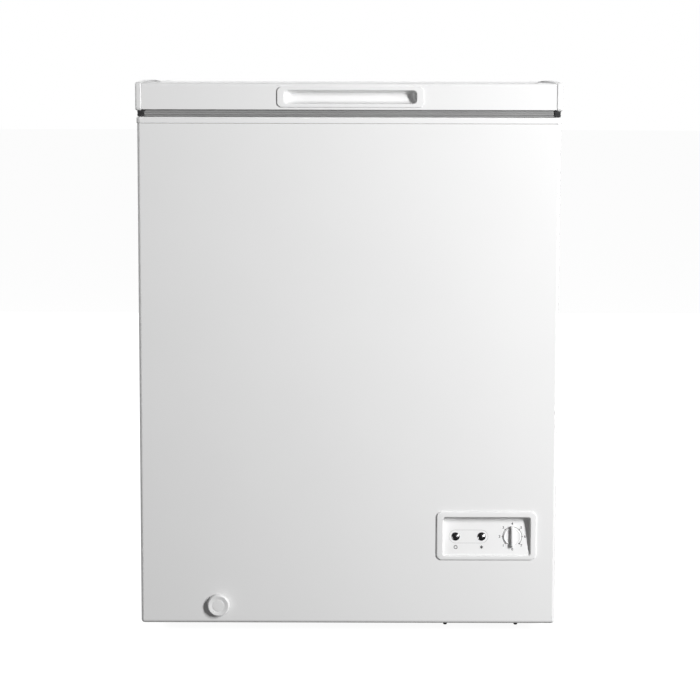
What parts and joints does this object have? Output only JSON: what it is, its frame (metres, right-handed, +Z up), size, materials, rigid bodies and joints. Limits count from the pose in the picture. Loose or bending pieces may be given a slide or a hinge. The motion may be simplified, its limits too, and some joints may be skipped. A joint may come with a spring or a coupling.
{
  "type": "chest freezer",
  "caption": "Small white chest freezer with a hinged lid, scoop handle, control panel with dial, drain outlet, hanging basket and compressor compartment.",
  "frame": {"origin": "on the floor, under the middle of the whole freezer's box", "axes": "+Z up, the front with the handle and control panel faces -Y, +X to the right as seen from the front"},
  "size_m": [0.63, 0.565, 0.833],
  "materials": {
    "white_paint": "satin",
    "zinc_steel": "satin",
    "liner_sheet": "satin",
    "white_plastic": "satin",
    "black_rubber": "matte",
    "gasket_rubber": "satin",
    "insulation_foam": "matte",
    "copper": "satin",
    "black_paint": "satin",
    "black_plastic": "satin",
    "grey_plastic": "satin",
    "dark_lens": "gloss",
    "coil_aluminium": "satin",
    "coated_wire": "satin"
  },
  "bodies": {
    "cabinet": {"base_plate": "zinc_steel", "compartment_panel": "zinc_steel", "compressor": "black_paint", "compressor_cover": "zinc_steel", "compressor_grommet_1": "black_rubber", "compressor_grommet_2": "black_rubber", "compressor_grommet_3": "black_rubber", "compressor_grommet_4": "black_rubber", "compressor_tray": "zinc_steel", "condenser_coil": "zinc_steel", "control_bezel": "white_plastic", "cord_gland": "black_rubber", "discharge_pipe": "copper", "drain_socket": "white_plastic", "drain_tube": "white_plastic", "evaporator_coil": "coil_aluminium", "filter_drier": "copper", "foam_insulation": "insulation_foam", "foot_1": "black_rubber", "foot_2": "black_rubber", "foot_3": "black_rubber", "foot_4": "black_rubber", "hinge_bracket_left": "zinc_steel", "hinge_bracket_right": "zinc_steel", "hinge_pin_left": "zinc_steel", "hinge_pin_right": "zinc_steel", "hinge_screw_1": "zinc_steel", "hinge_screw_2": "zinc_steel", "hinge_screw_3": "zinc_steel", "hinge_screw_4": "zinc_steel", "inner_liner": "liner_sheet", "outer_cabinet": "white_paint", "power_lamp": "dark_lens", "rear_panel": "white_paint", "relay_box": "black_plastic", "run_lamp": "dark_lens", "side_vent_grille": "white_plastic", "suction_pipe": "copper", "thermostat": "grey_plastic", "top_rim_trim": "white_plastic", "tray_bolt_left": "black_paint", "tray_bolt_right": "black_paint"},
    "lid": {"lid_skin": "white_paint", "lid_end_cap_left": "white_plastic", "lid_end_cap_right": "white_plastic", "lid_inner_panel": "white_plastic", "lid_foam": "insulation_foam", "lid_gasket": "gasket_rubber", "handle_pocket": "white_plastic", "lid_bumper_left": "black_rubber", "lid_bumper_right": "black_rubber", "hinge_arm_left": "zinc_steel", "hinge_arm_right": "zinc_steel"},
    "knob": {"thermostat_knob": "white_plastic", "thermostat_shaft": "zinc_steel"},
    "drain_outlet": {"drain_spout": "white_plastic"},
    "drain_dial": {"drain_cap": "white_plastic"},
    "drain_plug": {"inner_drain_plug": "black_rubber"},
    "basket": {"wire_basket": "coated_wire"}
  },
  "joints": [
    {"name": "lid_hinge", "type": "hinge", "parent": "cabinet", "child": "lid", "pos_m": [0, 0.2755, 0.785], "axis": [-1, 0, 0], "range_deg": [0, 80]},
    {"name": "thermostat_turn", "type": "hinge", "parent": "cabinet", "child": "knob", "pos_m": [0.248, -0.26926, 0.15], "axis": [0, 0.9827, -0.1851], "range_deg": [0, 315]},
    {"name": "drain_pull", "type": "slide", "parent": "cabinet", "child": "drain_outlet", "axis": [0, -1, 0], "range_m": [0, 0.012]},
    {"name": "drain_turn", "type": "hinge", "parent": "drain_outlet", "child": "drain_dial", "pos_m": [-0.1959, -0.2735, 0.0451], "axis": [0, 1, 0], "range_deg": [0, 180]},
    {"name": "drain_plug_lift", "type": "slide", "parent": "cabinet", "child": "drain_plug", "axis": [0, 0, 1], "range_m": [0, 0.03]},
    {"name": "basket_slide", "type": "slide", "parent": "cabinet", "child": "basket", "axis": [1, 0, 0], "range_m": [0, 0.27]}
  ]
}
